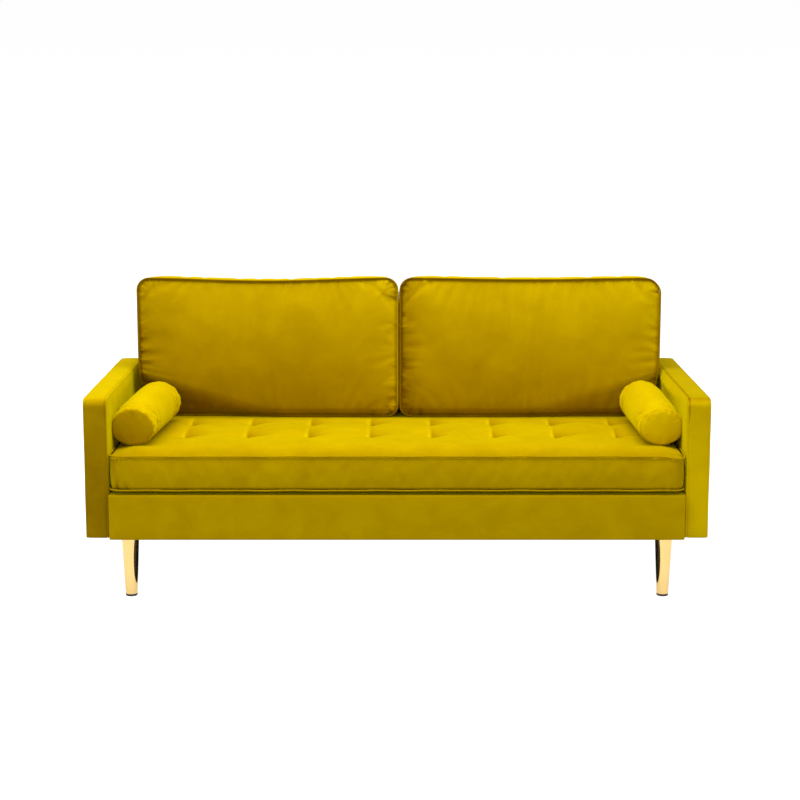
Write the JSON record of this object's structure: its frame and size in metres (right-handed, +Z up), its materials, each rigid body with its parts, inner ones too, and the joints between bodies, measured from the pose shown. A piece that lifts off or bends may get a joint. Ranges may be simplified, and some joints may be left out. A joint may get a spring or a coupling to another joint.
{
  "type": "sofa",
  "caption": "Upholstered loveseat with thin slab arms, a loose tufted bench cushion, loose back cushions, side bolsters and tapered metal legs.",
  "frame": {"origin": "on the floor, under the middle of the sofa", "axes": "+X runs along the sofa to the right seen from the front, -Y is the front, +Z is up"},
  "size_m": [1.775, 0.77, 0.8604],
  "materials": {
    "velvet": "mustard-yellow velvet with a short cut pile",
    "velvet_piping": "velvet-covered cord",
    "foam": "open-cell foam",
    "frame_wood": "sawn softwood and plywood, unfinished",
    "spring_steel": "drawn wire",
    "zinc_steel": "zinc-plated",
    "gold_metal": "polished plating",
    "glide_plastic": "moulded, fine matt grain",
    "dust_cloth": "spun-bonded black cloth",
    "webbing": "woven elastic webbing",
    "twine": "waxed twine"
  },
  "bodies": {
    "frame": {"seat_front_rail": "frame_wood", "seat_rear_rail": "frame_wood", "seat_left_rail": "frame_wood", "seat_right_rail": "frame_wood", "seat_center_rail": "frame_wood", "corner_blocks": "frame_wood", "seat_springs": "spring_steel", "spring_clips": "spring_steel", "base_padding": "foam", "base_cover": "velvet", "dust_cover": "dust_cloth", "leg_front_left": "gold_metal", "leg_front_right": "gold_metal", "leg_rear_left": "gold_metal", "leg_rear_right": "gold_metal", "glide_front_left": "glide_plastic", "glide_front_right": "glide_plastic", "glide_rear_left": "glide_plastic", "glide_rear_right": "glide_plastic", "leg_plates": "zinc_steel", "leg_plate_screws": "zinc_steel", "leg_studs": "zinc_steel", "arm_left_top_rail": "frame_wood", "arm_left_bottom_rail": "frame_wood", "arm_left_front_post": "frame_wood", "arm_left_rear_post": "frame_wood", "arm_left_padding": "foam", "arm_left_cover": "velvet", "arm_right_top_rail": "frame_wood", "arm_right_bottom_rail": "frame_wood", "arm_right_front_post": "frame_wood", "arm_right_rear_post": "frame_wood", "arm_right_padding": "foam", "arm_right_cover": "velvet", "back_top_rail": "frame_wood", "back_bottom_rail": "frame_wood", "back_left_stile": "frame_wood", "back_right_stile": "frame_wood", "back_center_stile": "frame_wood", "back_webbing": "webbing", "back_padding": "foam", "back_cover": "velvet", "arm_bolts": "zinc_steel", "back_bolts": "zinc_steel", "frame_washers": "zinc_steel", "frame_tee_nuts": "zinc_steel"},
    "seat_cushion": {"seat_cushion_core": "foam", "seat_cushion_cover": "velvet", "seat_cushion_piping": "velvet_piping", "seat_tuft_ties": "twine"},
    "back_cushion_left": {"back_cushion_left_core": "foam", "back_cushion_left_cover": "velvet", "back_cushion_left_piping": "velvet_piping"},
    "back_cushion_right": {"back_cushion_right_core": "foam", "back_cushion_right_cover": "velvet", "back_cushion_right_piping": "velvet_piping"},
    "bolster_left": {"bolster_left_core": "foam", "bolster_left_cover": "velvet"},
    "bolster_right": {"bolster_right_core": "foam", "bolster_right_cover": "velvet"}
  },
  "joints": [
    {"name": "seat_lift", "type": "slide", "parent": "frame", "child": "seat_cushion", "axis": [0, 0, 1], "range_m": [0, 0.25]},
    {"name": "back_left_lift", "type": "slide", "parent": "seat_cushion", "child": "back_cushion_left", "axis": [0, 0, 1], "range_m": [0, 0.3]},
    {"name": "back_right_lift", "type": "slide", "parent": "seat_cushion", "child": "back_cushion_right", "axis": [0, 0, 1], "range_m": [0, 0.3]},
    {"name": "bolster_left_lift", "type": "slide", "parent": "seat_cushion", "child": "bolster_left", "axis": [0, 0, 1], "range_m": [0, 0.2]},
    {"name": "bolster_right_lift", "type": "slide", "parent": "seat_cushion", "child": "bolster_right", "axis": [0, 0, 1], "range_m": [0, 0.2]}
  ]
}
